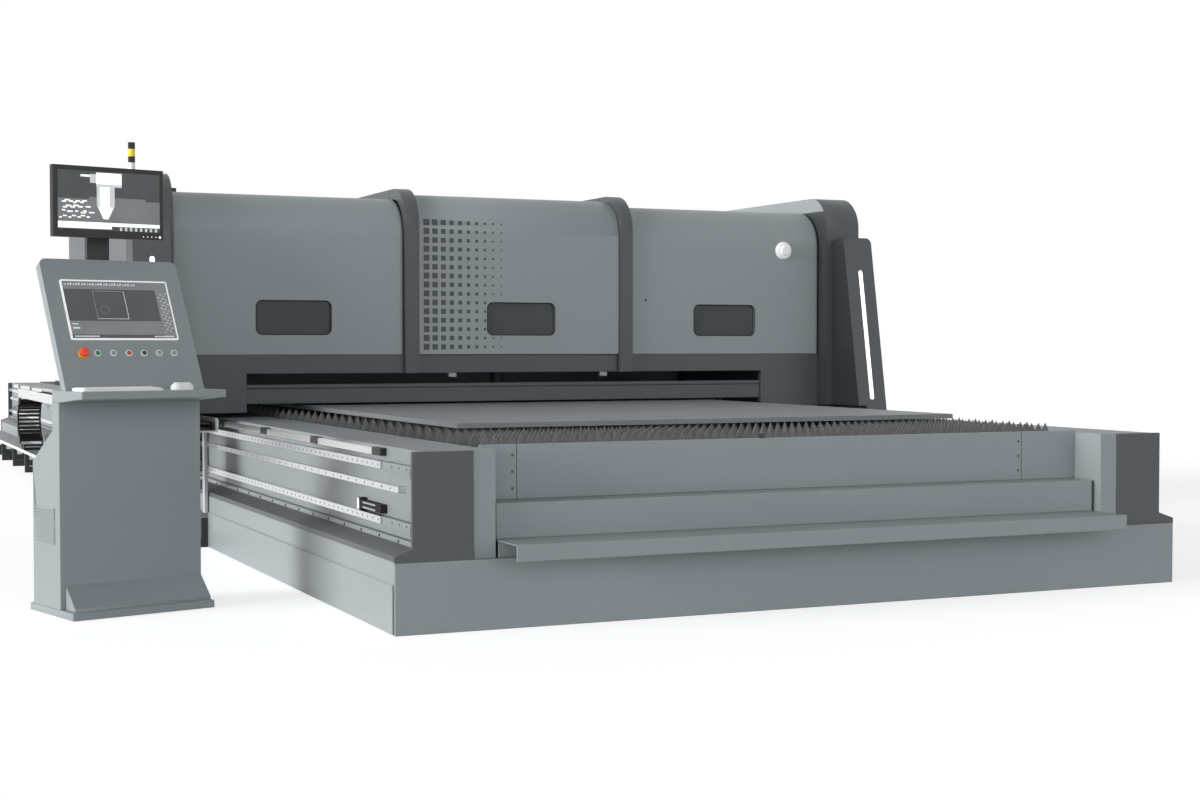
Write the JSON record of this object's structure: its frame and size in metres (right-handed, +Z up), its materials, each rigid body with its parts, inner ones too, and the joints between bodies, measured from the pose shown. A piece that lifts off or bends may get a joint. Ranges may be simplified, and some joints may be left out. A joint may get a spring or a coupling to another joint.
{
  "type": "gantry fiber laser cutting machine",
  "caption": "Large-format gantry laser cutter: long toothed slat bed with a steel plate on it, hooded travelling bridge, cutting head, cable chain and a free-standing operator console.",
  "frame": {"origin": "centre of the four floor anchor holes, on the floor under the middle of the bed", "axes": "+Z up; +Y along the bed from the loading front to the rear; +X to the right seen from the front"},
  "size_m": [6.0317, 15.6, 2.51],
  "materials": {
    "machine_grey": "semi-gloss",
    "bed_grey": "satin",
    "dark_grey": "semi-gloss",
    "black_paint": "satin",
    "light_grey": "satin",
    "ground_steel": "ground",
    "mill_plate": "mill",
    "slat_steel": "raw",
    "dark_glass": "polished",
    "screen_black": "gloss",
    "black_plastic": "matte",
    "white_plastic": "matte",
    "grey_plastic": "matte",
    "red_plastic": "gloss",
    "green_plastic": "gloss",
    "blue_plastic": "gloss",
    "rubber_black": "matte"
  },
  "bodies": {
    "bed": {"base_end_panels": "machine_grey", "base_side_plinths": "machine_grey", "cross_members": "bed_grey", "scrap_plates": "bed_grey", "side_beams": "bed_grey", "beam_end_covers": "dark_grey", "guide_rails": "ground_steel", "gear_racks": "ground_steel", "rail_covers": "ground_steel", "travel_bumpers": "rubber_black", "bay_panel": "machine_grey", "bay_step": "machine_grey", "loading_tray": "machine_grey", "bay_cheeks": "machine_grey", "slats": "slat_steel", "slat_holders": "bed_grey", "workpiece_sheet": "mill_plate", "cable_tray": "black_paint", "chain_trough": "light_grey", "chain_runs": "black_plastic", "console_base": "machine_grey", "console_cabinet": "machine_grey", "console_shelf": "light_grey", "control_panel": "machine_grey", "panel_screen": "screen_black", "monitor": "black_plastic", "monitor_arm": "black_paint", "keyboard": "black_plastic", "mouse": "black_plastic", "button_bezels": "ground_steel"},
    "gantry": {"gantry_beam": "bed_grey", "end_carriages": "dark_grey", "guide_blocks": "ground_steel", "drive_motors": "black_paint", "hood_panels": "machine_grey", "hood_ribs": "dark_grey", "hood_shell": "machine_grey", "lower_bands": "dark_grey", "skirts": "black_paint", "end_caps": "dark_grey", "towers": "dark_grey", "light_strips": "white_plastic", "side_windows": "dark_glass", "stack_light": "black_plastic", "round_lamp": "white_plastic"},
    "door": {"door_panel": "machine_grey", "door_band": "dark_grey", "door_window": "dark_glass"},
    "left_pinion_body": {"left_pinion": "ground_steel"},
    "right_pinion_body": {"right_pinion": "ground_steel"},
    "chain_bend_body": {"chain_bend": "black_plastic"},
    "carriage": {"x_carriage": "bed_grey"},
    "head": {"cutting_head": "black_paint"},
    "e_stop_body": {"e_stop": "red_plastic"},
    "push_button_1_body": {"push_button_1": "green_plastic"},
    "push_button_2_body": {"push_button_2": "white_plastic"},
    "push_button_3_body": {"push_button_3": "red_plastic"},
    "push_button_4_body": {"push_button_4": "blue_plastic"},
    "push_button_5_body": {"push_button_5": "grey_plastic"},
    "push_button_6_body": {"push_button_6": "grey_plastic"}
  },
  "joints": [
    {"name": "gantry_travel", "type": "slide", "parent": "bed", "child": "gantry", "axis": [0, 1, 0], "range_m": [-3, 7.2]},
    {"name": "left_pinion_spin", "type": "hinge", "parent": "gantry", "child": "left_pinion_body", "pos_m": [-2.06675, -2.825, 0.6], "axis": [0, 0, 1], "continuous": true},
    {"name": "right_pinion_spin", "type": "hinge", "parent": "gantry", "child": "right_pinion_body", "pos_m": [2.06675, -2.825, 0.6], "axis": [0, 0, 1], "continuous": true},
    {"name": "chain_roll", "type": "slide", "parent": "bed", "child": "chain_bend_body", "axis": [0, 1, 0], "range_m": [-1.5, 3.6]},
    {"name": "hood_door", "type": "hinge", "parent": "gantry", "child": "door", "pos_m": [0, -3.575, 2.213], "axis": [-1, 0, 0], "range_deg": [0, 70]},
    {"name": "carriage_travel", "type": "slide", "parent": "gantry", "child": "carriage", "axis": [1, 0, 0], "range_m": [-1.47, 1.47]},
    {"name": "head_lift", "type": "slide", "parent": "carriage", "child": "head", "axis": [0, 0, 1], "range_m": [-0.035, 0.2]},
    {"name": "e_stop_push", "type": "slide", "parent": "bed", "child": "e_stop_body", "axis": [-0.2355, 0.8669, -0.4394], "range_m": [0, 0.006], "stiffness_N_per_m": 500},
    {"name": "button_1_push", "type": "slide", "parent": "bed", "child": "push_button_1_body", "axis": [-0.2355, 0.8669, -0.4394], "range_m": [0, 0.004], "stiffness_N_per_m": 300},
    {"name": "button_2_push", "type": "slide", "parent": "bed", "child": "push_button_2_body", "axis": [-0.2355, 0.8669, -0.4394], "range_m": [0, 0.004], "stiffness_N_per_m": 300},
    {"name": "button_3_push", "type": "slide", "parent": "bed", "child": "push_button_3_body", "axis": [-0.2355, 0.8669, -0.4394], "range_m": [0, 0.004], "stiffness_N_per_m": 300},
    {"name": "button_4_push", "type": "slide", "parent": "bed", "child": "push_button_4_body", "axis": [-0.2355, 0.8669, -0.4394], "range_m": [0, 0.004], "stiffness_N_per_m": 300},
    {"name": "button_5_push", "type": "slide", "parent": "bed", "child": "push_button_5_body", "axis": [-0.2355, 0.8669, -0.4394], "range_m": [0, 0.004], "stiffness_N_per_m": 300},
    {"name": "button_6_push", "type": "slide", "parent": "bed", "child": "push_button_6_body", "axis": [-0.2355, 0.8669, -0.4394], "range_m": [0, 0.004], "stiffness_N_per_m": 300}
  ],
  "couplings": [
    {"joint": "left_pinion_spin", "follows": "gantry_travel", "rad_per_m": -33.333},
    {"joint": "right_pinion_spin", "follows": "gantry_travel", "rad_per_m": 33.333},
    {"joint": "chain_roll", "follows": "gantry_travel", "ratio": 0.5}
  ]
}
